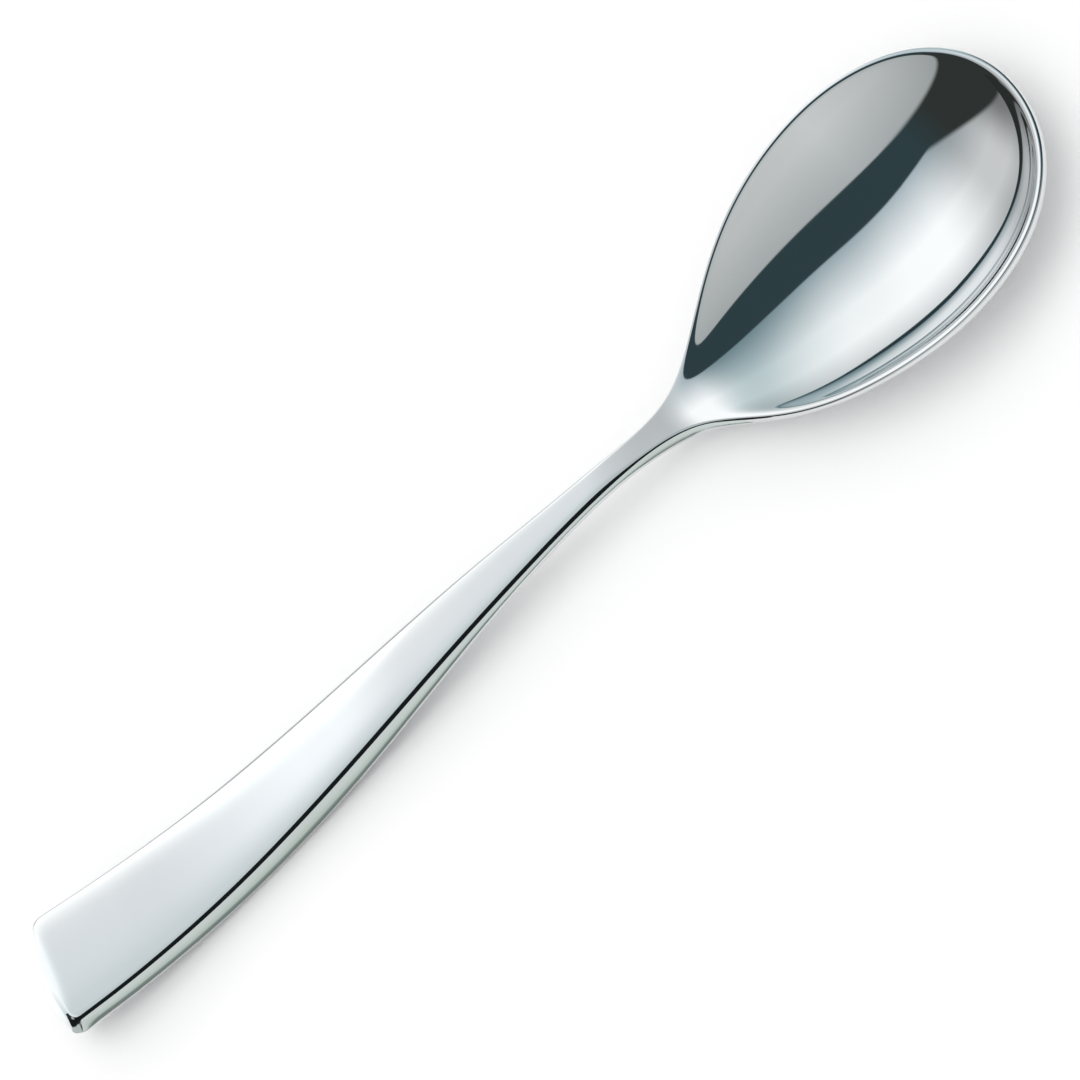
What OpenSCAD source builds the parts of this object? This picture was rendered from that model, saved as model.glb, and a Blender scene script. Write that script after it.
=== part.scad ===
// Teaspoon drop-forged in one piece from stainless steel and polished bright all over.
// X runs along the spoon from the handle's end to the bowl's tip, Y across it and Z up.
// The origin lies on the table below the middle of the length.

/* [Overall] */
// Length of the top outline from the handle's end to the bowl's tip
overall_length = 140; // [132:1:152]

/* [Bowl] */
// Width of the bowl at its widest place
bowl_width = 30.15; // [27:0.05:34]
// Distance from the tip back to the widest place
tip_length = 17.5; // [16:0.5:20]
// Distance from the widest place back to where the bowl opens out of the neck
flank_length = 31.5; // [28:0.5:33]
// Roundness of the tip, where 2 is an ellipse and more is squarer
tip_roundness = 2.15; // [2:0.05:2.4]
// Depth of the hollow below the rim
bowl_depth = 5.8; // [4.5:0.05:7.5]
// Shape of the hollow, where 1 is a paraboloid and less has steeper sides and a flatter floor
dish_power = 0.73; // [0.65:0.01:1]
// Thickness of the bowl's floor
floor_thickness = 1.7; // [1.2:0.05:2.8]
// Width of the flat lip on top of the rim
lip_width = 0.8; // [0.6:0.1:1.4]
// Rounding where the lip turns down into the hollow
lip_round = 0.25; // [0.15:0.05:0.5]
// Height of the rim's outer wall
rim_thickness = 1; // [0.9:0.1:1.6]

/* [Neck] */
// Width of the neck at its narrowest place
neck_width = 2.8; // [2.4:0.05:5]
// Distance from the tip back to the narrowest place
neck_from_tip = 54; // [53:0.5:58]
// Thickness of the neck's sides
neck_thickness = 2.05; // [1.8:0.05:3.2]
// Thickness of the sides at the root, where the neck runs in under the bowl
root_thickness = 2.8; // [1.8:0.1:3.6]
// Distance from the tip back to the root
root_from_tip = 46.5; // [45:0.5:48]
// Distance before the widest place at which the root has thinned out to the rim's wall
rim_wall_lead = 13; // [10:0.5:16]
// Length before the narrowest place in which the handle's section starts to turn into the bowl's
blend_before_neck = 4; // [2:0.5:8]
// Length after the narrowest place in which it has done so
blend_after_neck = 5; // [4:0.5:8]

/* [Handle] */
// Width of the handle's end
handle_width = 13.1; // [10:0.1:16]
// Thickness of the handle's sides
handle_thickness = 3.5; // [3:0.05:5]
// Length of the stretch from the end that keeps the full thickness
full_thickness_length = 36; // [30:1:40]
// Distance before the narrowest place at which the sides have thinned to the neck's thickness
thinning_lead = 10; // [6:1:14]
// How far the middle of the end stands out past its corners
end_bulge = 0.65; // [0.4:0.05:1.5]
// Rounding of the end's two corners, seen from above
corner_radius = 1.6; // [1.2:0.1:2.5]
// Shape of the taper to the neck, where 1 is straight and more is fuller
taper_fullness = 1.2; // [1:0.05:1.5]
// Distance before the narrowest place at which the taper aims to reach the neck's width
taper_lead = 4; // [3:0.5:6]
// Height of the crown of the top face
crown_height = 0.4; // [0.1:0.05:0.6]
// Height of the crown of the back
back_crown = 0.4; // [0.2:0.05:0.8]
// Share of the back's width that is flat in its middle, so that the handle lies steady
back_flat = 0.3; // [0:0.05:0.6]
// Length over which the top face rolls down to the end
end_roll = 3; // [2:0.5:5]
// How far the foot of the end face stands out past its top
end_slant = 2.3; // [0:0.1:3]
// Length over which that slant runs out along the sides
slant_length = 6; // [5:0.5:10]

/* [Edges] */
// Rounding along the handle's top edges
edge_radius = 0.6; // [0.4:0.05:0.9]
// Rounding along the handle's back edges
back_radius = 0.7; // [0.5:0.05:1]
// Rounding on the outside of the rim
rim_radius = 0.3; // [0.2:0.05:0.4]
// Rounding below the rim's outer wall
under_radius = 0.45; // [0.3:0.05:0.5]

/* [Side view] */
// Rise of the handle's end above the handle's lowest place
end_lift = 3.6; // [1:0.1:5]
// Distance from the end to the handle's lowest place
dip_from_end = 28; // [22:1:32]
// Rise of the neck above the handle's lowest place
neck_rise = 2.7; // [1:0.05:5]
// Distance before the neck's narrowest place at which the handle has risen to the neck's height
crest_lead = 12.5; // [8:0.5:18]
// Drop of the top edge from the neck to the root
root_drop = 0.7; // [0:0.05:1.2]
// Rise of the rim from the root to its highest place
rim_rise = 1.8; // [0.5:0.1:3.5]
// Distance from the tip back to the rim's highest place
rim_top_from_tip = 24; // [20:1:28]
// Drop of the rim from its highest place to the tip
tip_drop = 1.75; // [0.5:0.05:2.5]

/* [Fineness] */
// Rays between one station of the outline and the next
rays_per_span = 4; // [3:1:5]
// Points from the middle line to the edge, on each face
points_across = 7; // [5:1:9]
// Steps round each edge
round_steps = 3; // [2:1:4]

/* [Hidden] */
steel = [0.80, 0.82, 0.83];

// Half widths
end_half = handle_width / 2;
neck_half = neck_width / 2;
bowl_half = bowl_width / 2;

// Places along X
corner_tilt = atan(2 * end_bulge / (end_half - corner_radius));
corner_x = end_bulge + corner_radius * cos(corner_tilt);
neck_x = overall_length - neck_from_tip;
taper_x = neck_x - taper_lead;
root_x = overall_length - root_from_tip;
widest_x = overall_length - tip_length;
rim_top_x = overall_length - rim_top_from_tip;
crest_x = neck_x - crest_lead;
thin_x = neck_x - thinning_lead;
blend_start_x = neck_x - blend_before_neck;
blend_end_x = neck_x + blend_after_neck;
rim_wall_x = widest_x - rim_wall_lead;

// Heights of the top edge above the handle's lowest place
root_height = neck_rise - root_drop;
rim_height = root_height + rim_rise;

// Shares of the end's half chord and of its corners' turn at which the outline has stations
end_shares = [0, 0.45, 0.8];
corner_shares = [0, 1 / 3, 2 / 3, 1];
// Shares of the taper's length at which the handle has stations, closer together at both ends
side_shares = [0.02, 0.06, 0.13, 0.25, 0.4, 0.55, 0.7, 0.835, 0.945];
// Flank of the bowl from the neck to the widest place: share of the way still to go, and share of
// the way from the neck's half width to the bowl's
flank_shares = [[1, 0.01], [0.86, 0.095], [0.72, 0.32], [0.575, 0.575], [0.39, 0.81], [0.17, 0.958]];
// Shares of the tip's length at which the rounded tip has stations
tip_shares = [0.1, 0.49, 0.78, 0.953];
// Shares of each stretch of the side view at which the top edge and the sides have stations
lift_shares = [0, 0.3, 0.65];
quarters = [0, 0.25, 0.5, 0.75];
thirds = [0, 1 / 3, 2 / 3];
// Places from which the rays fan out at the two ends, as shares of the handle's width and the tip's length
end_fan = 0.42;
tip_fan = 0.5;
// How strongly the points across each face crowd towards the edge
crowding = 1.8;
// Most that an edge's rounding takes of the way to the middle line, and of the side's height
most_of_reach = 0.45;
most_of_wall = 0.45;

// Easing from 0 to 1, level at both ends
function ease(share) = share * share * (3 - 2 * share);
function ease_between(start, end, x) = ease(max(0, min(1, (x - start) / (end - start))));
function mix(start, end, share) = start + (end - start) * share;

// Smooth curve through stations [x, value]. An outline is mirrored in the X axis beyond its ends,
// and a graph runs straight on there.
function last(list) = list[len(list) - 1];
function beyond(end, inner, mirrored) = mirrored ? [inner[0], -inner[1]] : 2 * end - inner;
function padded(list, mirrored) = concat(
    [beyond(list[0], list[1], mirrored)],
    list,
    [beyond(last(list), list[len(list) - 2], mirrored)]
);
function controls(list) = [
    for (i = [1 : len(list) - 2]) (8 * list[i] - list[i - 1] - list[i + 1]) / 6
];
function frame_of(stations, mirrored) = padded(controls(padded(stations, mirrored)), mirrored);
function place(frame, i, u) = (
    pow(1 - u, 3) * frame[i]
    + (3 * pow(u, 3) - 6 * u * u + 4) * frame[i + 1]
    + (3 * u * (1 + u - u * u) + 1) * frame[i + 2]
    + pow(u, 3) * frame[i + 3]
) / 6;
function direction(frame, i, u) = (
    -pow(1 - u, 2) * frame[i]
    + u * (3 * u - 4) * frame[i + 1]
    + (1 + 2 * u - 3 * u * u) * frame[i + 2]
    + u * u * frame[i + 3]
) / 2;
function sampled(stations, mirrored, steps) =
    let (frame = frame_of(stations, mirrored), spans = len(stations) - 1)
    [for (k = [0 : spans * steps])
        let (i = min(floor(k / steps), spans - 1))
        place(frame, i, k / steps - i)];

// Stations of the outline seen from above, from the middle of the handle's end to the tip
end_stations = concat(
    [for (s = end_shares) [end_bulge * s * s, (end_half - corner_radius) * s]],
    [for (s = corner_shares)
        let (turn = mix(180 - corner_tilt, 90, s))
        [corner_x, end_half - corner_radius] + corner_radius * [cos(turn), sin(turn)]]
);
side_stations = [
    for (s = side_shares)
        [mix(corner_x, taper_x, s), mix(end_half, neck_half, pow(s, taper_fullness))]
];
flank_stations = [
    for (f = flank_shares) [widest_x - flank_length * f[0], mix(neck_half, bowl_half, f[1])]
];
tip_stations = [
    for (s = tip_shares)
        [widest_x + tip_length * s, bowl_half * pow(1 - pow(s, tip_roundness), 1 / tip_roundness)]
];
outline = concat(
    end_stations,
    side_stations,
    [[neck_x, neck_half]],
    flank_stations,
    tip_stations,
    [[overall_length, 0]]
);

// Stations of the top edge in side view
edge_line = concat(
    [for (s = lift_shares) [dip_from_end * s, end_lift * pow(1 - s, 2)]],
    [for (s = quarters) [mix(dip_from_end, crest_x, s), neck_rise * ease(s)]],
    [[crest_x, neck_rise], [neck_x, neck_rise]],
    [for (s = thirds) [mix(root_x, rim_top_x, s), mix(root_height, rim_height, ease(s))]],
    [for (s = thirds) [mix(rim_top_x, overall_length, s), rim_height - tip_drop * s * s]],
    [[overall_length, rim_height - tip_drop]]
);

// Stations of the sides' thickness
side_line = concat(
    [[0, handle_thickness], [full_thickness_length / 2, handle_thickness]],
    [for (s = quarters)
        [mix(full_thickness_length, thin_x, s), mix(handle_thickness, neck_thickness, ease(s))]],
    [[thin_x, neck_thickness], [neck_x, neck_thickness]],
    [for (s = thirds)
        [mix(root_x, rim_wall_x, s), mix(root_thickness, rim_thickness, ease(s))]],
    [for (x = [rim_wall_x, widest_x, overall_length]) [x, rim_thickness]]
);

// The same curves as fine tables, with this many steps to a span, and the step over which a slope is taken
fine = 8;
slope_step = 0.5;
half_width_squares = [for (p = sampled(outline, true, fine)) [p[0], p[1] * p[1]]];
edge_heights = sampled(edge_line, false, fine);
side_heights = sampled(side_line, false, fine);
function square_at(x) = lookup(x, half_width_squares);
function edge_at(x) = lookup(x, edge_heights);
function side_at(x) = lookup(x, side_heights);
function handle_half_at(x) = sqrt(square_at(max(corner_x, min(x, blend_end_x))));

// Share of bowl in the section at x: 0 on the handle, 1 in the bowl
function bowl_share(x) = ease_between(blend_start_x, blend_end_x, x);

// The hollow follows the outline inwards: it starts at the lip and is deepest where the bowl is widest.
// The lip is even along the flanks, and keeps to a fixed difference of squares round the tip.
lip_square = lip_width * (bowl_width - lip_width);
soft_square = bowl_width * lip_round;
hollow_square = pow(bowl_half - lip_width, 2);
under_rate = (bowl_depth + floor_thickness - rim_thickness) / pow(bowl_half, 2);
function inner_square_at(x) =
    x < widest_x
        ? pow(max(0, sqrt(square_at(x)) - lip_width), 2)
        : square_at(x) - lip_square;
function hollow_at(x, y) =
    let (
        inside = inner_square_at(x) - y * y,
        softened = (inside + sqrt(inside * inside + soft_square * soft_square)) / 2
    )
    bowl_depth * pow(softened / hollow_square, dish_power);
function top_at(x, y) =
    let (
        share = bowl_share(x),
        half = handle_half_at(x),
        out = min(1, abs(y) / half),
        roll = 1 - pow(max(0, 1 - x / end_roll), 3)
    )
    edge_at(x)
    + (1 - share) * crown_height * roll * half / end_half * (1 - pow(out, 4))
    - share * hollow_at(x, y);
function back_at(x, y) =
    let (
        share = bowl_share(x),
        half = handle_half_at(x),
        out = min(1, abs(y) / half),
        bent = max(0, out - back_flat) / (1 - back_flat)
    )
    edge_at(x) - side_at(x)
    - (1 - share) * back_crown * half / end_half * (1 - bent * bent)
    - share * under_rate * (square_at(x) - y * y);

// Rays run from the middle line to the outline. They stand square to that line and fan out at both ends.
outline_frame = frame_of(outline, true);
spans = len(outline) - 1;
ray_count = spans * rays_per_span + 1;
end_rays = (len(end_stations) + 2) * rays_per_span;
tip_rays = len(tip_shares) * rays_per_span;
end_fan_x = handle_width * end_fan;
tip_fan_x = overall_length - tip_length * tip_fan;
function span_of(ray) = min(floor(ray / rays_per_span), spans - 1);
function outline_at(ray) = place(outline_frame, span_of(ray), ray / rays_per_span - span_of(ray));
function inward_at(ray) =
    let (d = direction(outline_frame, span_of(ray), ray / rays_per_span - span_of(ray)))
    [d[1], -d[0]] / norm(d);
function middle_at(ray) =
    ray < end_rays ? mix(end_fan_x, outline_at(end_rays)[0], ray / end_rays)
    : ray > ray_count - 1 - tip_rays
        ? mix(tip_fan_x, outline_at(ray_count - 1 - tip_rays)[0], (ray_count - 1 - ray) / tip_rays)
    : outline_at(ray)[0];

// Points of one face from the middle line towards the edge
function crowded(k) = 1 - pow(1 - k / points_across, crowding);
function top_point(p) = [p[0], p[1], top_at(p[0], p[1])];
function back_point(p) = [p[0], p[1], back_at(p[0], p[1])];
// Rounded edge from one point to another, bent towards the sharp corner between them
function rounded(from, corner, to) = [
    for (k = [0 : round_steps])
        let (u = k / round_steps)
        pow(1 - u, 2) * from + 2 * u * (1 - u) * corner + u * u * to
];
// The handle's sections stand square to its curve in side view, so points lean with their depth, and
// the end face slants out on top of that
function lean_at(x) = (1 - bowl_share(x)) * (edge_at(x + slope_step) - edge_at(x)) / slope_step;
function slant_at(x) = end_slant / handle_thickness * pow(max(0, 1 - x / slant_length), 2);
function leaned(p) = p + [(lean_at(p[0]) - slant_at(p[0])) * (edge_at(p[0]) - p[2]), 0, 0];
// Half section on one ray: out along the top face, round the edges and back along the underside
function half_section(ray) =
    let (
        edge = outline_at(ray),
        inward = inward_at(ray),
        middle = [middle_at(ray), 0],
        share = bowl_share(edge[0]),
        reach = norm(edge - middle),
        top_round = min(mix(edge_radius, rim_radius, share), most_of_reach * reach),
        back_round = min(mix(back_radius, under_radius, share), most_of_reach * reach),
        top_corner = top_point(edge),
        back_corner = back_point(edge),
        wall = top_corner[2] - back_corner[2],
        top_drop = [0, 0, min(top_round, most_of_wall * wall)],
        back_rise = [0, 0, min(back_round, most_of_wall * wall)],
        top_inner = edge + top_round * inward,
        back_inner = edge + back_round * inward
    )
    concat(
        [for (k = [0 : points_across - 1]) top_point(mix(middle, top_inner, crowded(k)))],
        rounded(top_point(top_inner), top_corner, top_corner - top_drop),
        rounded(back_corner + back_rise, back_corner, back_point(back_inner)),
        [for (k = [points_across - 1 : -1 : 0]) back_point(mix(middle, back_inner, crowded(k)))]
    );

// Rings of the loft: a half section and its mirror image. The first and last rays lie on the middle line,
// so each of them is a single half section that closes its end.
half_count = 2 * (points_across + round_steps + 1);
ring_count = 2 * half_count - 2;
function mirrored_half(half) = [
    for (k = [half_count - 2 : -1 : 1]) [half[k][0], -half[k][1], half[k][2]]
];
function ring(ray) =
    let (half = [for (p = half_section(ray)) leaned(p)])
    ray == 0 || ray == ray_count - 1 ? half : concat(half, mirrored_half(half));
function index_of(ray, k) =
    let (
        turn = k % ring_count,
        start = ray == 0 ? 0 : half_count + (ray - 1) * ring_count,
        closed = ray == 0 || ray == ray_count - 1
    )
    start + (closed && turn >= half_count ? ring_count - turn : turn);

module spoon() {
    points = [for (ray = [0 : ray_count - 1]) each ring(ray)];
    faces = [
        for (ray = [0 : ray_count - 2], k = [0 : ring_count - 1])
            let (
                a = index_of(ray, k),
                b = index_of(ray, k + 1),
                c = index_of(ray + 1, k + 1),
                d = index_of(ray + 1, k)
            )
            each [[a, b, c], [a, c, d]]
    ];
    xs = [for (p = points) p[0]];
    zs = [for (p = points) p[2]];
    color(steel)
        translate([-(min(xs) + max(xs)) / 2, 0, -min(zs)])
            polyhedron(points, faces, convexity = 4);
}

spoon();
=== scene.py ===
import math

import bmesh
import bpy
import numpy as np
from bpy.props import FloatProperty, FloatVectorProperty, IntProperty, PointerProperty
from mathutils import Matrix, Vector


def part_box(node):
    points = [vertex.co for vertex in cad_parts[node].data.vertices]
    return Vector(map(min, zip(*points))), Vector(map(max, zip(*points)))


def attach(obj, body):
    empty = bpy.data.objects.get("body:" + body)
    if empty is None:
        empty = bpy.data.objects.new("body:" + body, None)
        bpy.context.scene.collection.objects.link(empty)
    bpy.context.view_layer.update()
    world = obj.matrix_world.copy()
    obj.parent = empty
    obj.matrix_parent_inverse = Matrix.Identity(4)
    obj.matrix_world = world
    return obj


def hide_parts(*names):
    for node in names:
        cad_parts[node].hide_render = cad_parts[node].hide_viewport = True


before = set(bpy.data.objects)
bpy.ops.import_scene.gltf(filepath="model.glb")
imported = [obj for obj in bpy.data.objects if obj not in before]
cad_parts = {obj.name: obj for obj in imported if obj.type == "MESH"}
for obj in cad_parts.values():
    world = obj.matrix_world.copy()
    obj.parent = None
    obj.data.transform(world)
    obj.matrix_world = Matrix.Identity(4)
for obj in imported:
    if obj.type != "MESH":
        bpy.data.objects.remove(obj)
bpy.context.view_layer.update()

bl_info = {
    "name": "Teaspoon",
    "version": (1, 0, 0),
    "blender": (4, 5, 0),
    "location": "View3D > Sidebar > Teaspoon",
    "description": "Models a mirror-polished teaspoon in its CAD frame, on a pale studio stage",
    "category": "Add Mesh",
}

BODY = "root"
CAD_NODE = "spoon"


# Settings

def length(name, metres, description):
    """A size in metres that the sidebar shows in the scene's units."""
    return FloatProperty(name=name, description=description, default=metres, min=0.0,
                         precision=5, subtype="DISTANCE", unit="LENGTH")


def number(name, value, description):
    """A plain number without a unit."""
    return FloatProperty(name=name, description=description, default=value, min=0.0, precision=4)


def count(name, value, description):
    """A whole number of steps."""
    return IntProperty(name=name, description=description, default=value, min=1)


def colour(name, rgb, description):
    """A linear colour."""
    return FloatVectorProperty(name=name, description=description, default=rgb, size=3,
                               min=0.0, subtype="COLOR")


class TEASPOON_PG_bowl(bpy.types.PropertyGroup):
    """Sizes of the dished bowl and its rim."""

    width: length("Width", 0.03015, "Across the bowl at its widest place")
    tip_length: length("Tip length", 0.0175, "From the widest place to the tip")
    flank_length: length("Flank length", 0.0315, "From the widest place back to the neck's foot")
    tip_roundness: number("Tip roundness", 2.15, "2 gives an elliptic tip, more a squarer one")
    depth: length("Depth", 0.0058, "From the rim down to the deepest place")
    dish_power: number("Dish power", 0.73, "1 gives a paraboloid, less a flatter floor")
    floor_thickness: length("Floor thickness", 0.0017, "Metal at the deepest place")
    lip_width: length("Lip width", 0.0008, "Flat of the rim before the hollow starts")
    lip_round: number("Lip round", 0.25, "Millimetres over which the rim turns into the hollow")
    rim_thickness: length("Rim thickness", 0.001, "Side wall of the rim")
    rim_radius: length("Rim edge", 0.0003, "Rounding of the rim's upper edge")
    under_radius: length("Under edge", 0.00045, "Rounding of the rim's lower edge")
    rim_rise: length("Rim rise", 0.0018, "From the root up to the rim's highest place")
    rim_top_from_tip: length("Rim top from tip", 0.024, "Where the rim is highest")
    rim_wall_lead: length("Rim wall lead", 0.013, "Where the side wall is thin, before the widest place")
    tip_drop: length("Tip drop", 0.00175, "How far the rim dips towards the tip")


class TEASPOON_PG_neck(bpy.types.PropertyGroup):
    """Sizes of the slim neck between handle and bowl."""

    width: length("Width", 0.0028, "Across the neck at its narrowest place")
    from_tip: length("From tip", 0.054, "Where the neck is narrowest")
    thickness: length("Thickness", 0.00205, "Side wall of the neck")
    rise: length("Rise", 0.0027, "How far the neck stands above the handle's dip")
    crest_lead: length("Crest lead", 0.0125, "Where the rise is complete, before the neck")
    root_from_tip: length("Root from tip", 0.0465, "Where the bowl grows out of the neck")
    root_thickness: length("Root thickness", 0.0028, "Side wall at the root")
    root_drop: length("Root drop", 0.0007, "How far the root lies below the neck")
    blend_before: length("Blend before", 0.004, "Where the section starts to turn into the bowl's")
    blend_after: length("Blend after", 0.005, "Where the section is wholly the bowl's")


class TEASPOON_PG_handle(bpy.types.PropertyGroup):
    """Sizes of the flared handle."""

    width: length("Width", 0.0131, "Across the handle's squared-off end")
    thickness: length("Thickness", 0.0035, "Side wall of the handle")
    full_thickness_length: length("Full thickness length", 0.036, "Stretch at full thickness")
    thinning_lead: length("Thinning lead", 0.01, "Where the thinning is complete, before the neck")
    end_bulge: length("End bulge", 0.00065, "How far the middle of the end stands out")
    corner_radius: length("Corner radius", 0.0016, "Rounding of the end's two corners")
    taper_fullness: number("Taper fullness", 1.2, "1 gives straight sides, more gives fuller ones")
    taper_lead: length("Taper lead", 0.004, "Where the taper aims to end, before the neck")
    crown: length("Crown", 0.0004, "How far the upper face swells")
    back_crown: length("Back crown", 0.0004, "How far the lower face swells")
    back_flat: number("Back flat", 0.3, "Share of the lower face that is flat in its middle")
    end_roll: length("End roll", 0.003, "Stretch over which the crown fades to the end")
    end_slant: length("End slant", 0.0023, "How far the end face slants out towards its foot")
    slant_length: length("Slant length", 0.006, "Stretch over which the slant fades")
    edge_radius: length("Edge", 0.0006, "Rounding of the upper edges")
    back_radius: length("Back edge", 0.0007, "Rounding of the lower edges")
    end_lift: length("End lift", 0.0036, "How far the end turns up")
    dip_from_end: length("Dip from end", 0.028, "Where the handle lies lowest")


class TEASPOON_PG_finish(bpy.types.PropertyGroup):
    """The polished steel and the fineness of its skin."""

    steel: colour("Steel", (0.74, 0.76, 0.77), "Tint of the polished steel")
    worn_steel: colour("Worn steel", (0.70, 0.72, 0.725), "Tint where the polish is a little worn")
    polish: number("Polish", 0.03, "Roughness of the best polished places")
    wear: number("Wear", 0.035, "Roughness added where the polish is worn")
    streak_depth: length("Streak depth", 0.0000015, "Depth of the polishing streaks on the side walls")
    rays_per_span: count("Rays per span", 12, "Cross sections between two stations of the outline")
    points_across: count("Points across", 28, "Steps from the middle line to an edge")
    edge_steps: count("Edge steps", 8, "Steps round a rounded edge")


class TEASPOON_PG_stage(bpy.types.PropertyGroup):
    """Floor, lamp, light tent, dark cloths and camera."""

    floor: colour("Floor", (0.95, 0.95, 0.95), "Pale floor")
    ambient: number("Ambient", 0.9, "Level of the world's light on rough surfaces")
    lamp_power: number("Lamp power", 2.6, "Power of the soft overhead lamp in watts")
    lamp_size: length("Lamp size", 0.9, "Side of the soft overhead lamp")
    lamp_height: length("Lamp height", 1.0, "Height of the soft overhead lamp")
    tent_radius: length("Tent radius", 2.0, "Radius of the light tent that the steel mirrors")
    gap: colour("Gap", (0.025, 0.044, 0.050), "Dark gap over the spoon between the tent's two panels")
    opening: colour("Opening", (0.026, 0.030, 0.028), "Dark opening beyond the handle's end")
    hood: colour("Hood", (0.010, 0.013, 0.014), "Black cloth along the near side of the handle")
    lens: number("Lens", 131.404, "Focal length of the camera in millimetres on a 36 mm sensor")


class TEASPOON_PG_settings(bpy.types.PropertyGroup):
    """All settings of the teaspoon."""

    overall_length: length("Overall length", 0.14, "Length of the spoon's outline")
    bowl: PointerProperty(type=TEASPOON_PG_bowl)
    neck: PointerProperty(type=TEASPOON_PG_neck)
    handle: PointerProperty(type=TEASPOON_PG_handle)
    finish: PointerProperty(type=TEASPOON_PG_finish)
    stage: PointerProperty(type=TEASPOON_PG_stage)


# Shape of the spoon: shares of a stretch at which the outline and the height lines have their stations

MILLIMETRE = 0.001
END_SHARES = (0.0, 0.45, 0.8)
CORNER_SHARES = (0.0, 1 / 3, 2 / 3, 1.0)
SIDE_SHARES = (0.02, 0.06, 0.13, 0.25, 0.4, 0.55, 0.7, 0.835, 0.945)
FLANK_SHARES = ((1.0, 0.01), (0.86, 0.095), (0.72, 0.32), (0.575, 0.575), (0.39, 0.81), (0.17, 0.958))
TIP_SHARES = (0.1, 0.49, 0.78, 0.953)
LIFT_SHARES = (0.0, 0.3, 0.65)
QUARTERS = (0.0, 0.25, 0.5, 0.75)
THIRDS = (0.0, 1 / 3, 2 / 3)
# Where the rays of the end and of the tip start, as shares of the handle's width and the tip's length
END_FAN = 0.42
TIP_FAN = 0.5
FAN_STATIONS_PAST_CORNER = 2
# Powers that shape the crown across the handle, its fading to the end and the steps across
CROWN_POWER = 4
ROLL_POWER = 3
CROWDING = 1.8
MOST_OF_REACH = 0.45
MOST_OF_WALL = 0.45
TABLE_STEPS = 200
SLOPE_STEP = 0.0005
MERGE_DISTANCE = 1e-7


def mix(first, last, share):
    """A value between two others."""
    return first + (last - first) * share


def ease(share):
    """A share that starts and ends gently."""
    return share * share * (3.0 - 2.0 * share)


class SmoothLine:
    """A cubic spline through its stations. A mirrored one crosses the middle line squarely."""

    def __init__(self, stations, mirrored=False):
        self.spans = len(stations) - 1
        through = self.extended(np.array(stations, float), mirrored)
        poles = (8.0 * through[1:-1] - through[:-2] - through[2:]) / 6.0
        self.poles = self.extended(poles, mirrored)

    @staticmethod
    def extended(points, mirrored):
        """The points with one more beyond each end."""
        if mirrored:
            before, after = points[1] * (1, -1), points[-2] * (1, -1)
        else:
            before, after = 2 * points[0] - points[1], 2 * points[-1] - points[-2]
        return np.vstack([before, points, after])

    def split(self, at):
        """The four poles of the span at each place, and the share of the span."""
        span = np.minimum(np.floor(at).astype(int), self.spans - 1)
        return [self.poles[span + k] for k in range(4)], (at - span)[:, None]

    def points(self, at):
        (a, b, c, d), u = self.split(at)
        weighted = (1 - u) ** 3 * a + (3 * u ** 3 - 6 * u * u + 4) * b
        weighted = weighted + (3 * u * (1 + u - u * u) + 1) * c + u ** 3 * d
        return weighted / 6.0

    def directions(self, at):
        (a, b, c, d), u = self.split(at)
        slope = u * u * d - (1 - u) ** 2 * a + u * (3 * u - 4) * b + (1 + 2 * u - 3 * u * u) * c
        return slope / np.linalg.norm(slope, axis=1)[:, None]

    def table(self):
        """Closely spaced points, to read a value at any X."""
        return self.points(np.linspace(0, self.spans, self.spans * TABLE_STEPS + 1)).T


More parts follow.
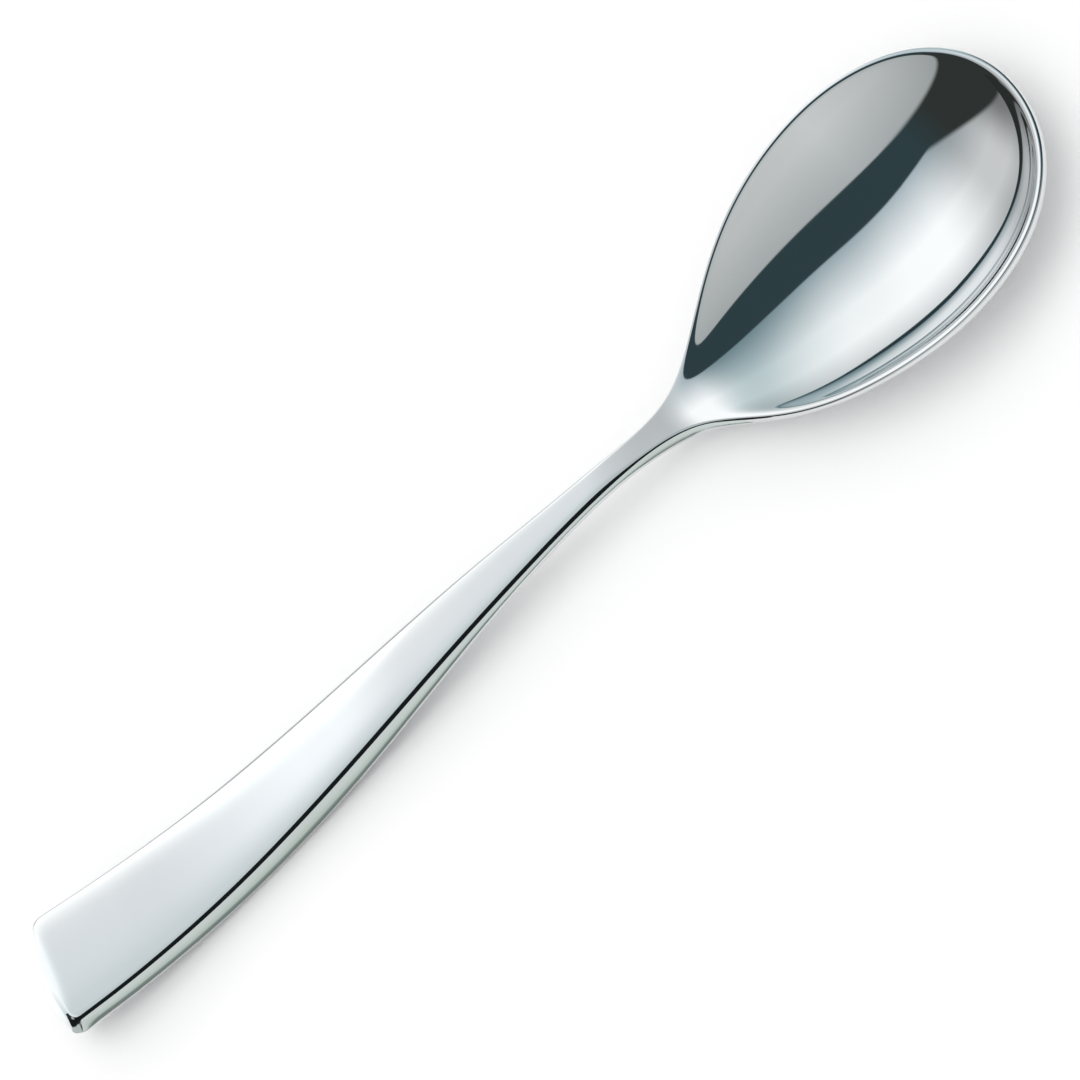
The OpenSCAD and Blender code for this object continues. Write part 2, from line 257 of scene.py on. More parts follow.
class SpoonShape:
    """The spoon's faces as functions of place, in metres, with X from the handle's end to the tip."""

    def __init__(self, sizes):
        self.sizes = sizes
        bowl, neck, handle = sizes.bowl, sizes.neck, sizes.handle
        self.tip_x = sizes.overall_length
        self.neck_x = self.tip_x - neck.from_tip
        self.root_x = self.tip_x - neck.root_from_tip
        self.widest_x = self.tip_x - bowl.tip_length
        self.rim_top_x = self.tip_x - bowl.rim_top_from_tip
        self.blend_start = self.neck_x - neck.blend_before
        self.blend_end = self.neck_x + neck.blend_after
        self.end_half, self.neck_half, self.bowl_half = handle.width / 2, neck.width / 2, bowl.width / 2
        tilt = math.atan(2 * handle.end_bulge / (self.end_half - handle.corner_radius))
        self.corner_x = handle.end_bulge + handle.corner_radius * math.cos(tilt)
        self.outline = SmoothLine(self.outline_stations(tilt), mirrored=True)
        self.outline_x, outline_y = self.outline.table()
        self.outline_square = outline_y ** 2
        self.edge_x, self.edge_z = SmoothLine(self.edge_stations()).table()
        self.side_x, self.side_z = SmoothLine(self.side_stations()).table()
        self.lip_square = bowl.lip_width * (bowl.width - bowl.lip_width)
        self.lip_softness = bowl.width * bowl.lip_round * MILLIMETRE
        self.hollow_square = (self.bowl_half - bowl.lip_width) ** 2
        under_depth = bowl.depth + bowl.floor_thickness - bowl.rim_thickness
        self.under_rate = under_depth / self.bowl_half ** 2

    def outline_stations(self, tilt):
        """Half of the outline, from the middle of the end round a corner and the bowl to the tip."""
        handle, bowl = self.sizes.handle, self.sizes.bowl
        radius = handle.corner_radius
        corner_y = self.end_half - radius
        taper_x = self.neck_x - handle.taper_lead
        stations = [(handle.end_bulge * s * s, corner_y * s) for s in END_SHARES]
        for s in CORNER_SHARES:
            angle = mix(math.pi - tilt, math.pi / 2, s)
            x = self.corner_x + radius * math.cos(angle)
            stations.append((x, corner_y + radius * math.sin(angle)))
        for s in SIDE_SHARES:
            half = mix(self.end_half, self.neck_half, s ** handle.taper_fullness)
            stations.append((mix(self.corner_x, taper_x, s), half))
        stations.append((self.neck_x, self.neck_half))
        for back, out in FLANK_SHARES:
            x = self.widest_x - bowl.flank_length * back
            stations.append((x, mix(self.neck_half, self.bowl_half, out)))
        power = bowl.tip_roundness
        for s in TIP_SHARES:
            half = self.bowl_half * (1 - s ** power) ** (1 / power)
            stations.append((self.widest_x + bowl.tip_length * s, half))
        stations.append((self.tip_x, 0.0))
        return stations

    def edge_stations(self):
        """Height of the upper edge along the spoon."""
        neck, handle, bowl = self.sizes.neck, self.sizes.handle, self.sizes.bowl
        dip, crest = handle.dip_from_end, self.neck_x - neck.crest_lead
        root_z = neck.rise - neck.root_drop
        rim_z = root_z + bowl.rim_rise
        stations = [(dip * s, handle.end_lift * (1 - s) ** 2) for s in LIFT_SHARES]
        stations += [(mix(dip, crest, s), neck.rise * ease(s)) for s in QUARTERS]
        stations += [(crest, neck.rise), (self.neck_x, neck.rise)]
        for s in THIRDS:
            stations.append((mix(self.root_x, self.rim_top_x, s), mix(root_z, rim_z, ease(s))))
        for s in THIRDS + (1.0,):
            stations.append((mix(self.rim_top_x, self.tip_x, s), rim_z - bowl.tip_drop * s * s))
        return stations

    def side_stations(self):
        """Height of the side wall along the spoon."""
        neck, handle, bowl = self.sizes.neck, self.sizes.handle, self.sizes.bowl
        full, thinned = handle.full_thickness_length, self.neck_x - handle.thinning_lead
        rim_wall_x = self.widest_x - bowl.rim_wall_lead
        stations = [(0.0, handle.thickness), (full / 2, handle.thickness)]
        for s in QUARTERS:
            wall = mix(handle.thickness, neck.thickness, ease(s))
            stations.append((mix(full, thinned, s), wall))
        stations += [(thinned, neck.thickness), (self.neck_x, neck.thickness)]
        for s in THIRDS:
            wall = mix(neck.root_thickness, bowl.rim_thickness, ease(s))
            stations.append((mix(self.root_x, rim_wall_x, s), wall))
        stations += [(x, bowl.rim_thickness) for x in (rim_wall_x, self.widest_x, self.tip_x)]
        return stations

    def half_square(self, x):
        """Square of the outline's half width."""
        return np.interp(x, self.outline_x, self.outline_square)

    def lip_inner_square(self, x):
        """Square of the half width inside the lip, which is even along the sides and round the tip."""
        square = self.half_square(x)
        flank = np.maximum(0, np.sqrt(np.maximum(0, square)) - self.sizes.bowl.lip_width) ** 2
        return np.where(x < self.widest_x, flank, square - self.lip_square)

    def edge(self, x):
        """Height of the upper edge."""
        return np.interp(x, self.edge_x, self.edge_z)

    def bowl_share(self, x):
        """0 on the handle, 1 in the bowl."""
        return ease(np.clip((x - self.blend_start) / (self.blend_end - self.blend_start), 0, 1))

    def handle_half(self, x):
        """Half width that the handle's crowns are drawn over."""
        return np.sqrt(self.half_square(np.clip(x, self.corner_x, self.blend_end)))

    def top(self, x, y):
        """Height of the upper face."""
        handle = self.sizes.handle
        share, half = self.bowl_share(x), self.handle_half(x)
        off = np.minimum(1, np.abs(y) / half)
        roll = 1 - np.maximum(0, 1 - x / handle.end_roll) ** ROLL_POWER
        inside = self.lip_inner_square(x) - y * y
        softened = (inside + np.sqrt(inside ** 2 + self.lip_softness ** 2)) / 2
        hollow = self.sizes.bowl.depth * (softened / self.hollow_square) ** self.sizes.bowl.dish_power
        crown = handle.crown * roll * half / self.end_half * (1 - off ** CROWN_POWER)
        return self.edge(x) + (1 - share) * crown - share * hollow

    def back(self, x, y):
        """Height of the lower face."""
        share, half = self.bowl_share(x), self.handle_half(x)
        flat = self.sizes.handle.back_flat
        bent = np.maximum(0, np.minimum(1, np.abs(y) / half) - flat) / (1 - flat)
        crown = self.sizes.handle.back_crown * half / self.end_half * (1 - bent * bent)
        under = self.under_rate * (self.half_square(x) - y * y)
        side = np.interp(x, self.side_x, self.side_z)
        return self.edge(x) - side - (1 - share) * crown - share * under

    def leaned(self, points):
        """Handle sections stand square to the curved handle, and the end face slants."""
        handle = self.sizes.handle
        x, below = points[..., 0], self.edge(points[..., 0]) - points[..., 2]
        slope = (self.edge(x + SLOPE_STEP) - self.edge(x)) / SLOPE_STEP
        lean = (1 - self.bowl_share(x)) * slope
        slant = handle.end_slant / handle.thickness * np.maximum(0, 1 - x / handle.slant_length) ** 2
        moved = points.copy()
        moved[..., 0] += (lean - slant) * below
        return moved

    def half_rings(self, rays_per_span, points_across, edge_steps):
        """Half cross sections along rays from the middle line to the outline."""
        bowl, handle = self.sizes.bowl, self.sizes.handle
        rays = np.arange(self.outline.spans * rays_per_span + 1)
        at = rays / rays_per_span
        edge, direction = self.outline.points(at), self.outline.directions(at)
        inward = np.stack([direction[:, 1], -direction[:, 0]], axis=1)
        corner_stations = len(END_SHARES) + len(CORNER_SHARES)
        end_ray = (corner_stations + FAN_STATIONS_PAST_CORNER) * rays_per_span
        tip_ray = rays[-1] - len(TIP_SHARES) * rays_per_span
        end_fan = mix(handle.width * END_FAN, edge[end_ray, 0], rays / end_ray)
        tip_fan_x = self.tip_x - bowl.tip_length * TIP_FAN
        tip_fan = mix(tip_fan_x, edge[tip_ray, 0], (rays[-1] - rays) / (rays[-1] - tip_ray))
        middle_x = np.where(rays < end_ray, end_fan, np.where(rays > tip_ray, tip_fan, edge[:, 0]))
        middle = np.stack([middle_x, np.zeros_like(middle_x)], axis=1)
        share, reach = self.bowl_share(edge[:, 0]), np.linalg.norm(edge - middle, axis=1)
        top_round = np.minimum(mix(handle.edge_radius, bowl.rim_radius, share), MOST_OF_REACH * reach)
        back_round = np.minimum(mix(handle.back_radius, bowl.under_radius, share), MOST_OF_REACH * reach)

        def lifted(face, flat):
            return np.concatenate([flat, face(flat[..., 0], flat[..., 1])[..., None]], axis=-1)

        def down(depth):
            return np.stack([0 * depth, 0 * depth, np.minimum(depth, MOST_OF_WALL * wall)], axis=1)

        def rounded(first, corner, last):
            u = np.linspace(0, 1, edge_steps + 1)[None, :, None]
            before, after = (1 - u) ** 2 * first[:, None], u * u * last[:, None]
            return before + 2 * u * (1 - u) * corner[:, None] + after

        top_corner, back_corner = lifted(self.top, edge), lifted(self.back, edge)
        wall = top_corner[:, 2] - back_corner[:, 2]
        top_inner, back_inner = edge + top_round[:, None] * inward, edge + back_round[:, None] * inward
        out = 1 - (1 - np.arange(points_across) / points_across) ** CROWDING
        top_flat = middle[:, None] + (top_inner - middle)[:, None] * out[None, :, None]
        back_flat = middle[:, None] + (back_inner - middle)[:, None] * out[None, ::-1, None]
        return self.leaned(np.concatenate([
            lifted(self.top, top_flat),
            rounded(lifted(self.top, top_inner), top_corner, top_corner - down(top_round)),
            rounded(back_corner + down(back_round), back_corner, lifted(self.back, back_inner)),
            lifted(self.back, back_flat),
        ], axis=1))


def placed_half(sizes):
    """The half cross sections, moved to the CAD solid's place and trimmed by a hair to its box."""
    finish = sizes.finish
    half = SpoonShape(sizes).half_rings(finish.rays_per_span, finish.points_across, finish.edge_steps)
    low, high = half.min(axis=(0, 1)), half.max(axis=(0, 1))
    low[1] = -high[1]
    cad_low, cad_high = (np.array(corner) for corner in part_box(CAD_NODE))
    trim = np.minimum(1.0, (cad_high - cad_low) / (high - low))
    middle, cad_middle = (low + high) / 2, (cad_low + cad_high) / 2
    middle[1:], cad_middle[1:] = (0.0, low[2]), (0.0, cad_low[2])
    return (half - middle) * trim + cad_middle


# Shader nodes

class Value:
    """A shader socket that Python's operators work on. Each operator adds a Math node."""

    def __init__(self, shader, socket):
        self.shader, self.socket = shader, socket

    def math(self, operation, *others):
        sockets = dict(enumerate((self,) + others))
        return self.shader.add("ShaderNodeMath", 0, {"operation": operation}, sockets)

    def __add__(self, other):
        return self.math("ADD", other)

    def __mul__(self, other):
        return self.math("MULTIPLY", other)

    def __sub__(self, other):
        return self.math("SUBTRACT", other)

    def __truediv__(self, other):
        return self.math("DIVIDE", other)

    def __rsub__(self, other):
        return self.shader.add("ShaderNodeMath", 0, {"operation": "SUBTRACT"}, {0: other, 1: self})

    def __lt__(self, other):
        return self.math("LESS_THAN", other)

    def __gt__(self, other):
        return self.math("GREATER_THAN", other)

    def __abs__(self):
        return self.math("ABSOLUTE")

    __radd__ = __add__
    __rmul__ = __mul__


class Shader:
    """The nodes of one material or world."""

    def __init__(self, owner):
        owner.use_nodes = True
        self.tree = owner.node_tree
        self.tree.nodes.clear()

    def add(self, kind, output, settings=None, sockets=None):
        """Adds a node with its settings and the values or links of its sockets; gives one output."""
        node = self.tree.nodes.new(kind)
        for name, value in (settings or {}).items():
            if name == "stops":
                self.set_stops(node.color_ramp, value)
            else:
                setattr(node, name, value)
        for key, value in (sockets or {}).items():
            if isinstance(value, Value):
                self.tree.links.new(value.socket, node.inputs[key])
            else:
                node.inputs[key].default_value = value
        return Value(self, node.outputs[output]) if output is not None else None

    @staticmethod
    def set_stops(ramp, stops):
        while len(ramp.elements) < len(stops):
            ramp.elements.new(1.0)
        for element, (position, rgb) in zip(ramp.elements, stops):
            element.position = position
            element.color = (*rgb, 1.0)

    def blend(self, factor, first, second, how="MIX"):
        """Mixes two colours."""
        sockets = {0: factor, 6: first, 7: second}
        return self.add("ShaderNodeMix", 2, {"data_type": "RGBA", "blend_type": how}, sockets)

    def step(self, value, low, high):
        """Runs smoothly from 0 to 1 between two values."""
        sockets = {"Value": value, "From Min": low, "From Max": high}
        return self.add("ShaderNodeMapRange", 0, {"interpolation_type": "SMOOTHSTEP"}, sockets)

    def ramp(self, stops, at):
        """Runs through the stops' colours."""
        return self.add("ShaderNodeValToRGB", "Color", {"stops": stops}, {"Fac": at})

    def place(self):
        """Object coordinates in metres."""
        return self.add("ShaderNodeTexCoord", "Object")

    def axis(self, vector, name):
        """One component of a vector."""
        return self.add("ShaderNodeSeparateXYZ", name, None, {"Vector": vector})

    def end(self, kind, shader):
        """Adds the output node."""
        self.add(kind, None, None, {"Surface": shader})


def opaque(rgb):
    """A colour as a shader socket takes it."""
    return (*rgb, 1.0)


# Worn clouds, polishing streaks and specks of the steel, with their scales in cells per metre
CLOUDS = {"Scale": 70.0, "Detail": 4.0, "Roughness": 0.55}
WORN_CLOUDS = (0.42, 0.72)
WORN_TINT = 0.6
STREAK_SCALE = (30.0, 1500.0, 1500.0)
STREAKS = {"Scale": 1.0, "Detail": 2.0}
STREAK_ROUGHNESS = 0.04
WALL_LEAN = (0.75, 0.25)
SPECK_SCALE = 140.0
SPECK_RADIUS = 0.022
SPECK_CHOICE = 0.8
SPECK_GREY = (0.3, 0.3, 0.3)
SPECK_TINT = 0.35
SPECK_ROUGHNESS = 0.15


def polished_steel(finish):
    """Mirror-polished steel with faint wear, polishing streaks on its walls and a few specks."""
    material = bpy.data.materials.new("polished_steel_skin")
    nodes = Shader(material)
    place = nodes.place()
    clouds = nodes.add("ShaderNodeTexNoise", 0, None, {"Vector": place, **CLOUDS})
    worn = nodes.step(clouds, *WORN_CLOUDS)
    stretched = nodes.add("ShaderNodeMapping", 0, None, {"Vector": place, "Scale": STREAK_SCALE})
    streaks = nodes.add("ShaderNodeTexNoise", 0, None, {"Vector": stretched, **STREAKS})
    normal = nodes.add("ShaderNodeNewGeometry", "Normal")
    walls = nodes.step(abs(nodes.axis(normal, "Z")), *WALL_LEAN)
    cells = {"Vector": place, "Scale": SPECK_SCALE}
    near_speck = nodes.add("ShaderNodeTexVoronoi", "Distance", None, cells) < SPECK_RADIUS
    cell_colour = nodes.add("ShaderNodeTexVoronoi", "Color", None, cells)
    specks = near_speck * (nodes.axis(cell_colour, "X") > SPECK_CHOICE)
    tint = nodes.blend(worn * WORN_TINT, opaque(finish.steel), opaque(finish.worn_steel))
    tint = nodes.blend(specks * SPECK_TINT, tint, opaque(SPECK_GREY))
    rough = finish.polish + finish.wear * worn * streaks
    rough = rough + STREAK_ROUGHNESS * walls * streaks + SPECK_ROUGHNESS * specks
    bump = nodes.add("ShaderNodeBump", 0, None,
                     {"Height": streaks * walls, "Distance": finish.streak_depth, "Strength": 1.0})
    surface = nodes.add("ShaderNodeBsdfPrincipled", 0, None,
                        {"Base Color": tint, "Metallic": 1.0, "Roughness": rough, "Normal": bump})
    nodes.end("ShaderNodeOutputMaterial", surface)
    return material


def floor_paper(rgb):
    """Plain matt paper."""
    material = bpy.data.materials.new("floor_paper")
    nodes = Shader(material)
    surface = nodes.add("ShaderNodeBsdfDiffuse", 0, None, {"Color": opaque(rgb)})
    nodes.end("ShaderNodeOutputMaterial", surface)
    return material


# Light tent: each edge of its two panels lies in a plane through the bowl, given by its normal
TENT_STRENGTH = 1.4
TENT_CENTRE = (0.055, 0.0, 0.005)
BACK_TOP = (-0.299, 0.905, -0.302)
BACK_LEFT = (0.375, 0.927, 0.0)
BACK_RIGHT = (-0.906, 0.423, 0.0)
FRONT_TOP = (0.088, -0.994, -0.063)
FRONT_LEFT = (0.259, -0.966, 0.0)
# How softly the edges fade, as sines of the angle
TOP_EDGE = (-0.008, 0.012)
LEFT_EDGE = (-0.02, 0.03)
RIGHT_EDGE = (-0.06, 0.1)
# Light on each panel by the distance from its top edge, as the sine of the angle
BACK_LIGHT = (
    (0.0, (0.36, 0.43, 0.46)),
    (0.15, (0.56, 0.6, 0.62)),
    (0.45, (0.93, 0.93, 0.93)),
    (0.7, (0.93, 0.93, 0.93)),
    (1.0, (0.46, 0.48, 0.49)),
)
FRONT_LIGHT = (
    (0.0, (0.38, 0.4, 0.4)),
    (0.6, (0.53, 0.54, 0.54)),
)
# Where the light changes with the direction's X. The back panel fades by a share over each stretch towards
# the handle, and takes a tint towards the bowl's tip
BACK_FADES = ((0.42, (-0.27, -0.52)), (0.7, (-0.62, -0.9)))
BACK_SHADE = (0.42, 0.52, 0.54)
SHADE_STRETCH = (-0.18, 0.03)
FRONT_FADE = 0.38
FRONT_BRIGHTEST = -0.15
OPENING_STRETCH = (-0.35, -0.6)


def tent_light(look):
    """A bright panel at the back, a grey one at the front and dark gaps between them."""
    material = bpy.data.materials.new("tent_light")
    nodes = Shader(material)
    from_centre = {0: nodes.place(), 1: TENT_CENTRE}
    offset = nodes.add("ShaderNodeVectorMath", 0, {"operation": "SUBTRACT"}, from_centre)
    aim = nodes.add("ShaderNodeVectorMath", 0, {"operation": "NORMALIZE"}, {0: offset})
    along = nodes.axis(aim, "X")

    def past(normal):
        sockets = {0: aim, 1: normal}
        return nodes.add("ShaderNodeVectorMath", "Value", {"operation": "DOT_PRODUCT"}, sockets)

    def dimmed(light, by):
        return nodes.blend(1.0, light, by, "MULTIPLY")

    back_top, front_top = past(BACK_TOP), past(FRONT_TOP)
    near, far = (1.0 - share * nodes.step(along, *stretch) for share, stretch in BACK_FADES)
    back = dimmed(nodes.ramp(BACK_LIGHT, back_top), near * far)
    back = nodes.blend(nodes.step(along, *SHADE_STRETCH), back, dimmed(back, opaque(BACK_SHADE)))
    front_faded = 1.0 - FRONT_FADE * abs(along - FRONT_BRIGHTEST)
    front = dimmed(nodes.ramp(FRONT_LIGHT, front_top), front_faded)
    in_back = nodes.step(back_top, *TOP_EDGE) * nodes.step(past(BACK_LEFT), *LEFT_EDGE)
    in_back = in_back * nodes.step(past(BACK_RIGHT), *RIGHT_EDGE)
    in_front = nodes.step(front_top, *TOP_EDGE) * nodes.step(past(FRONT_LEFT), *LEFT_EDGE)
    in_opening = nodes.step(along, *OPENING_STRETCH)
    light = nodes.blend(in_opening, opaque(look.gap), opaque(look.opening))
    light = nodes.blend(in_back, light, back)
    light = nodes.blend(in_front, light, front)
    surface = nodes.add("ShaderNodeEmission", 0, None, {"Color": light, "Strength": TENT_STRENGTH})
    nodes.end("ShaderNodeOutputMaterial", surface)
    return material


# Light of the sheet over the handle by the lean of the sight line, mapped from SHEET_LEANS to 0..1
SHEET_LEANS = (-0.6, 1.6)
SHEET_LIGHT = (
    (0.0, (0.68, 0.75, 0.76)),
    (0.4, (0.79, 0.85, 0.86)),
    (0.6, (0.98, 1.0, 1.02)),
    (0.77, (1.29, 1.3, 1.29)),
)
SHEET_MIDDLE_Z = 0.005
# Stretches along X over which the sheet dims towards the neck, ends over it, and brightens beyond the end
NECK_STRETCH = (0.005, 0.024)
NECK_DIMMING = 0.32
NECK_FADE = (0.0215, 0.0255)
END_STRETCH = (-0.084, -0.15)
END_GLOW = 0.32
# Light of the screen beyond the handle's end, from its near edge to its far one
SCREEN_LIGHT = (
    (0.0, (0.8, 0.88, 0.88)),
    (0.25, (1.3, 1.3, 1.3)),
    (0.7, (1.3, 1.3, 1.3)),
    (1.0, (0.95, 0.95, 0.95)),
)
# Painted reflection in the handle's near wall: light of the floor strip that the wall mirrors, from below
# its foot to its top, dark at and below the foot as a painted floor shadow
STRIP_SHARES = (-0.3, 0.0, 0.25, 0.5, 0.75, 1.0)
PAINTED_WALL_REFLECTION = (
    (0.26, (0.22, 0.26, 0.24)),
    (0.42, (0.58, 0.66, 0.6)),
    (1.0, (0.81, 0.85, 0.83)),
)


def lit_cloth(name, paint, thin=None):
    """Cloth that gives a fixed light in the steel. Where it is thin it lets everything through."""
    material = bpy.data.materials.new(name)
    nodes = Shader(material)
    surface = nodes.add("ShaderNodeEmission", 0, None, {"Color": paint(nodes), "Strength": 1.0})
    if thin:
        clear = nodes.add("ShaderNodeBsdfTransparent", 0)
        surface = nodes.add("ShaderNodeMixShader", 0, None, {0: thin(nodes), 1: surface, 2: clear})
    nodes.end("ShaderNodeOutputMaterial", surface)
    return material


def even_light(rgb):
    """The same light all over a cloth."""
    return lambda nodes: opaque(rgb)


def ramp_light(stops, axis):
    """Light that runs along one axis of a cloth's UV map."""
    return lambda nodes: nodes.ramp(stops, nodes.axis(nodes.add("ShaderNodeTexCoord", "UV"), axis))


def sheet_light(nodes):
    """Light of the sheet, which is seen from the middle of the handle."""
    place = nodes.place()
    lean = nodes.axis(place, "Y") / (nodes.axis(place, "Z") - SHEET_MIDDLE_Z)
    first, last = SHEET_LEANS
    share = (lean - first) / (last - first)
    light = nodes.ramp(SHEET_LIGHT, share)
    near_neck = nodes.step(nodes.axis(place, "X"), *NECK_STRETCH)
    past_end = nodes.step(nodes.axis(place, "X"), *END_STRETCH)
    level = 1.0 - NECK_DIMMING * near_neck + END_GLOW * past_end
    return nodes.blend(1.0, light, level, "MULTIPLY")


def sheet_back(nodes):
    """The sheet shows from below only, and fades out over the neck."""
    faded = nodes.step(nodes.axis(nodes.place(), "X"), *NECK_FADE)
    return nodes.add("ShaderNodeNewGeometry", "Backfacing").math("MAXIMUM", faded)


# Building

def finished(name, shape, *materials):
    """Makes a mesh object at the origin and frees the bmesh."""
    mesh = bpy.data.meshes.new(name)
    shape.to_mesh(mesh)
    shape.free()
    for material in materials:
        mesh.materials.append(material)
    made = bpy.data.objects.new(name, mesh)
    bpy.context.scene.collection.objects.link(made)
    return made


def grid_sheet(rows):
    """A sheet through rows of points, with U along a row and V from the first row to the last."""
    rows = np.array(rows)
    across, along = rows.shape[:2]
    sheet = bmesh.new()
    bmesh.ops.create_grid(sheet, x_segments=along - 1, y_segments=across - 1, size=0.5)
    uv = sheet.loops.layers.uv.new("rows")
    for face in sheet.faces:
        for loop in face.loops:
            loop[uv].uv = (loop.vert.co.x + 0.5, loop.vert.co.y + 0.5)
    for vertex in sheet.verts:
        row = round((vertex.co.y + 0.5) * (across - 1))
        vertex.co = rows[row, round((vertex.co.x + 0.5) * (along - 1))]
    return sheet


def mirrored_only(cloth):
    """Marks a stage object that shows only in reflections."""
    cloth.visible_camera = False
    cloth.visible_diffuse = False
    cloth.visible_transmission = False
    cloth.visible_volume_scatter = False
    cloth.visible_shadow = False


class TEASPOON_OT_spoon(bpy.types.Operator):
    """Model the polished spoon in the place of its CAD solid"""

    bl_idname = "teaspoon.spoon"
    bl_label = "Polished Spoon"

    def execute(self, context):
        sizes = context.scene.teaspoon
        half = placed_half(sizes)
        rings = np.concatenate([half, half[:, -2:0:-1] * (1, -1, 1)], axis=1)
        rays, around = rings.shape[:2]
        skin = bmesh.new()
        bmesh.ops.create_grid(skin, x_segments=rays - 1, y_segments=around, size=0.5)
        for vertex in skin.verts:
            ray = round((vertex.co.x + 0.5) * (rays - 1))
            step = round((vertex.co.y + 0.5) * around) % around
            vertex.co = rings[ray, step]
        bmesh.ops.remove_doubles(skin, verts=skin.verts, dist=MERGE_DISTANCE)
        bmesh.ops.dissolve_degenerate(skin, edges=skin.edges, dist=MERGE_DISTANCE)
        bmesh.ops.recalc_face_normals(skin, faces=skin.faces)
        for face in skin.faces:
            face.smooth = True
        spoon = finished("polished_spoon", skin, polished_steel(sizes.finish))
        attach(spoon, BODY)
        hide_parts(CAD_NODE)
        return {"FINISHED"}


SENSOR_WIDTH = 36.0
CLIP_START = 0.01
CAMERA_EYE = (0.1563404, -0.1993396, 0.3007806)
CAMERA_RIGHT = (0.6812682, -0.3978603, -0.6144761)
CAMERA_DOWN = (-0.6206168, -0.7590685, -0.1965955)
FLOOR_SIZE = 6.0
TENT_SEGMENTS = 64
WHITE = (1.0, 1.0, 1.0)
# Places of the cloths that show only in the steel. The strip leaves out the first stations of the corner
STRIP_CORNER_STATIONS = 2
STRIP_Z = 0.0001
STRIP_END_X = 0.032
STRIP_MARGIN = 0.002
HOOD_REACH = 0.005
HOOD_HEIGHT = 0.014
HOOD_END_HEIGHT = 0.018
SHEET_X = (-0.33, 0.0255)
SHEET_Y = (-0.2, 1.5)
SHEET_RISE = (0.03, -0.76)
SCREEN_X = -0.0755
SCREEN_Y = (-0.003, 0.017)
SCREEN_Z = (0.0, 0.016)
CORNER_PATH = ((-0.0788, -0.003), (-0.0788, -0.0062), (-0.0772, -0.0087), (-0.075, -0.0102),
               (-0.0728, -0.0112))
CORNER_FOOT = ((-0.0735, -0.003), (-0.0735, -0.006), (-0.0725, -0.0075), (-0.0705, -0.009),
               (-0.0685, -0.01))
CORNER_HEIGHT = 0.007
CORNER_LIGHT = (0.56, 0.62, 0.6)


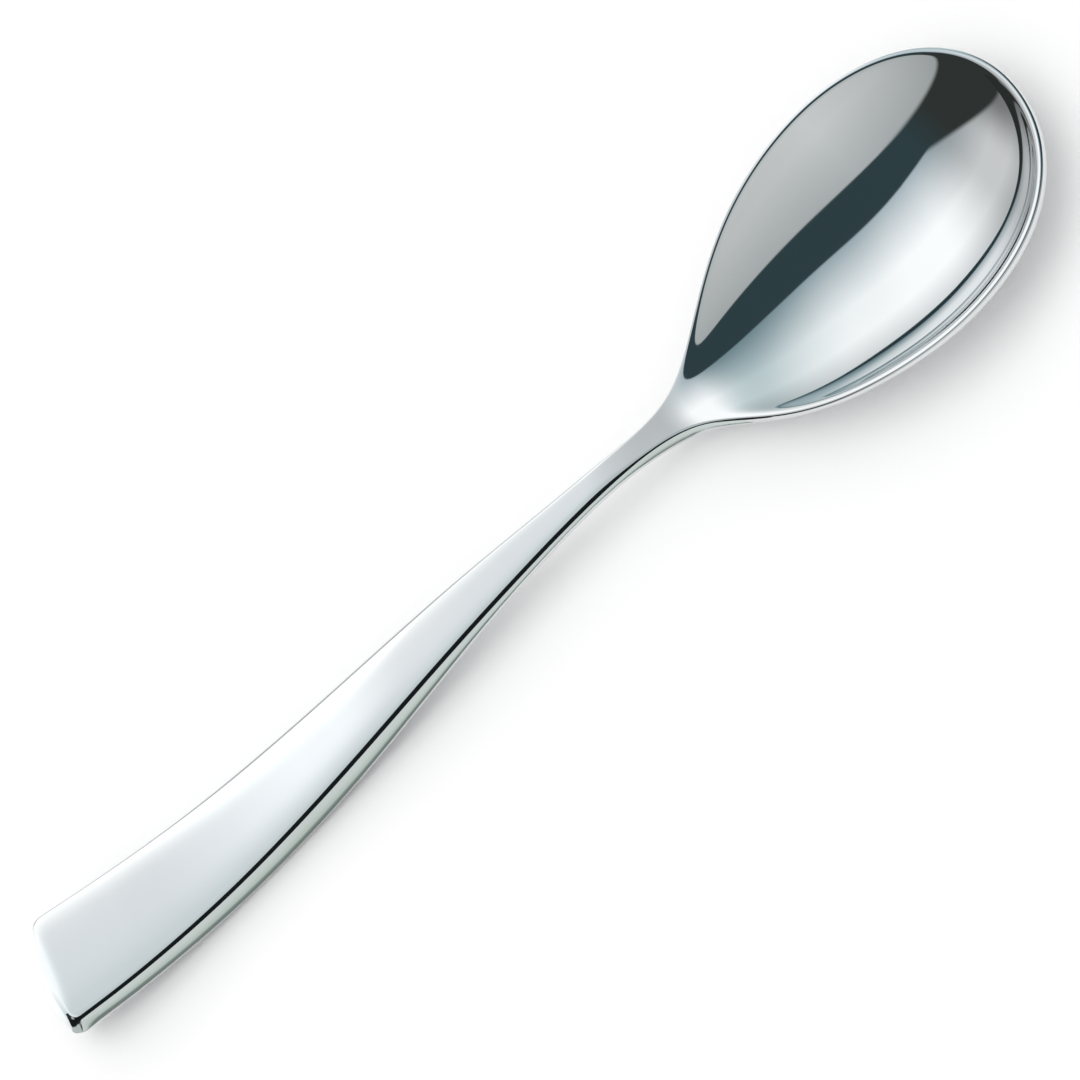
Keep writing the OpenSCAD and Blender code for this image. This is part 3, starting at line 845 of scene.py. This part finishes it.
class TEASPOON_OT_stage(bpy.types.Operator):
    """Set up the floor, the lamp, the camera, and the tent and cloths that the steel mirrors"""

    bl_idname = "teaspoon.stage"
    bl_label = "Studio Stage"

    def execute(self, context):
        look = context.scene.teaspoon.stage
        context.scene.view_settings.view_transform = "Standard"
        self.lay_floor(look)
        self.set_world(context.scene, look)
        self.hang_lamp(context.scene, look)
        self.put_up_tent(look)
        self.lay_strip(context.scene.teaspoon)
        self.hang_sheet()
        self.screen_end(context.scene.teaspoon)
        self.place_camera(context.scene, look)
        return {"FINISHED"}

    @staticmethod
    def lay_floor(look):
        """Lays the pale floor."""
        sheet = bmesh.new()
        bmesh.ops.create_grid(sheet, x_segments=1, y_segments=1, size=FLOOR_SIZE / 2)
        finished("floor", sheet, floor_paper(look.floor))

    @staticmethod
    def set_world(scene, look):
        """Makes the world white where it is seen, and a little dimmer as a light."""
        scene.world = bpy.data.worlds.new("studio")
        nodes = Shader(scene.world)
        seen = nodes.add("ShaderNodeLightPath", "Is Camera Ray")
        for kind in ("Is Glossy Ray", "Is Transmission Ray"):
            seen = seen.math("MAXIMUM", nodes.add("ShaderNodeLightPath", kind))
        strength = look.ambient + (1 - look.ambient) * seen
        sockets = {"Color": opaque(WHITE), "Strength": strength}
        light = nodes.add("ShaderNodeBackground", 0, None, sockets)
        nodes.end("ShaderNodeOutputWorld", light)

    @staticmethod
    def hang_lamp(scene, look):
        """Hangs the soft lamp, which the steel doesn't mirror."""
        lamp = bpy.data.lights.new("soft_lamp", "AREA")
        lamp.energy = look.lamp_power
        lamp.size = look.lamp_size
        hung = bpy.data.objects.new("soft_lamp", lamp)
        hung.location = (0, 0, look.lamp_height)
        hung.visible_glossy = False
        scene.collection.objects.link(hung)

    @staticmethod
    def put_up_tent(look):
        """Puts up the tent as a half sphere on the floor."""
        dome = bmesh.new()
        bmesh.ops.create_uvsphere(dome, u_segments=TENT_SEGMENTS, v_segments=TENT_SEGMENTS // 2,
                                  radius=look.tent_radius)
        everything = dome.verts[:] + dome.edges[:] + dome.faces[:]
        bmesh.ops.bisect_plane(dome, geom=everything, plane_co=(0, 0, 0), plane_no=(0, 0, 1),
                               clear_inner=True)
        mirrored_only(finished("light_tent", dome, tent_light(look)))

    @staticmethod
    def lay_strip(sizes):
        """Lays a strip of painted reflection, placed by the camera's eye, that the handle's near wall
        mirrors, with a painted floor shadow at its foot, and stands a black hood beside it.
        """
        half = placed_half(sizes)
        finish = sizes.finish
        first_ray = (len(END_SHARES) + STRIP_CORNER_STATIONS) * finish.rays_per_span
        wall_top = finish.points_across + finish.edge_steps
        near = half[first_ray:] * (1, -1, 1)
        near = near[near[:, wall_top, 0] < STRIP_END_X]
        top, foot = near[:, wall_top], near[:, wall_top + 1]
        along = np.gradient(top, axis=0)
        outward = np.stack([along[:, 1], -along[:, 0], 0 * along[:, 0]], axis=1)
        outward = outward / np.linalg.norm(outward, axis=1)[:, None]

        def mirrored_spot(share):
            """Where the floor shows in the wall at a share of its height."""
            place = mix(foot, top, share)
            sight = place - np.array(CAMERA_EYE)
            aim = sight - 2 * np.sum(sight * outward, axis=1)[:, None] * outward
            return place + aim * ((STRIP_Z - place[:, 2]) / aim[:, 2])[:, None]

        strip = [mirrored_spot(share) for share in STRIP_SHARES]
        strip[-1] = strip[-1] + STRIP_MARGIN * outward
        # The strip's paint is a painted reflection of the floor, darkest at the wall's foot as a painted
        # shadow
        paper = lit_cloth("strip_painted_reflection", ramp_light(PAINTED_WALL_REFLECTION, "Y"))
        mirrored_only(finished("wall_strip", grid_sheet(strip), paper))
        height = mix(HOOD_HEIGHT, HOOD_END_HEIGHT, ease(np.linspace(0, 1, len(top))))
        wall_foot = strip[-1] + HOOD_REACH * outward
        hood = [strip[-1], wall_foot, wall_foot + height[:, None] * np.array((0, 0, 1))]
        black = lit_cloth("hood_cloth", even_light(sizes.stage.hood))
        mirrored_only(finished("black_hood", grid_sheet(hood), black))

    @staticmethod
    def hang_sheet():
        """Hangs the sheet over the handle, which shows from below only."""
        level, slope = SHEET_RISE
        sheet = grid_sheet([[(x, y, level + slope * x) for x in SHEET_X] for y in reversed(SHEET_Y)])
        pale = lit_cloth("sheet_cloth", sheet_light, sheet_back)
        mirrored_only(finished("handle_sheet", sheet, pale))

    @staticmethod
    def screen_end(sizes):
        """Stands a white screen beyond the handle's end, and a black cloth with a patch at its corner."""
        low, high = SCREEN_Z
        screen = grid_sheet([[(SCREEN_X, y, z) for y in SCREEN_Y] for z in (low, high)])
        white = lit_cloth("screen_cloth", ramp_light(SCREEN_LIGHT, "X"))
        mirrored_only(finished("end_screen", screen, white))
        cloth = grid_sheet([[(x, y, z) for x, y in CORNER_PATH] for z in (low, CORNER_HEIGHT)])
        black = lit_cloth("corner_cloth", even_light(sizes.stage.hood))
        mirrored_only(finished("corner_cloth", cloth, black))
        patch = grid_sheet([[(x, y, STRIP_Z) for x, y in path] for path in (CORNER_FOOT, CORNER_PATH)])
        grey = lit_cloth("corner_patch", even_light(CORNER_LIGHT))
        mirrored_only(finished("corner_patch", patch, grey))

    @staticmethod
    def place_camera(scene, look):
        """Places the camera by its eye and the picture's right and down."""
        lens = bpy.data.cameras.new("camera")
        lens.sensor_width = SENSOR_WIDTH
        lens.lens = look.lens
        lens.clip_start = CLIP_START
        camera = bpy.data.objects.new("camera", lens)
        right, up = Vector(CAMERA_RIGHT), -Vector(CAMERA_DOWN)
        turn = Matrix((right, up, right.cross(up))).transposed().to_4x4()
        camera.matrix_world = Matrix.Translation(CAMERA_EYE) @ turn
        scene.collection.objects.link(camera)
        scene.camera = camera


class TEASPOON_PT_panel(bpy.types.Panel):
    """Lists the teaspoon's settings and operators."""

    bl_idname = "TEASPOON_PT_panel"
    bl_label = "Teaspoon"
    bl_space_type = "VIEW_3D"
    bl_region_type = "UI"
    bl_category = "Teaspoon"

    def draw(self, context):
        settings = context.scene.teaspoon
        for operator in OPERATORS:
            self.layout.operator(operator.bl_idname)
        self.layout.prop(settings, "overall_length")
        for name in ("bowl", "neck", "handle", "finish", "stage"):
            box = self.layout.box()
            box.label(text=name.capitalize())
            group = getattr(settings, name)
            for key in group.__annotations__:
                box.prop(group, key)


GROUPS = (TEASPOON_PG_bowl, TEASPOON_PG_neck, TEASPOON_PG_handle, TEASPOON_PG_finish, TEASPOON_PG_stage,
          TEASPOON_PG_settings)
OPERATORS = (TEASPOON_OT_stage, TEASPOON_OT_spoon)
CLASSES = GROUPS + OPERATORS + (TEASPOON_PT_panel,)


def register():
    for cls in CLASSES:
        bpy.utils.register_class(cls)
    bpy.types.Scene.teaspoon = PointerProperty(type=TEASPOON_PG_settings)


def unregister():
    del bpy.types.Scene.teaspoon
    for cls in reversed(CLASSES):
        bpy.utils.unregister_class(cls)


def main():
    register()
    bpy.ops.teaspoon.stage()
    bpy.ops.teaspoon.spoon()


if __name__ == "__main__":
    main()
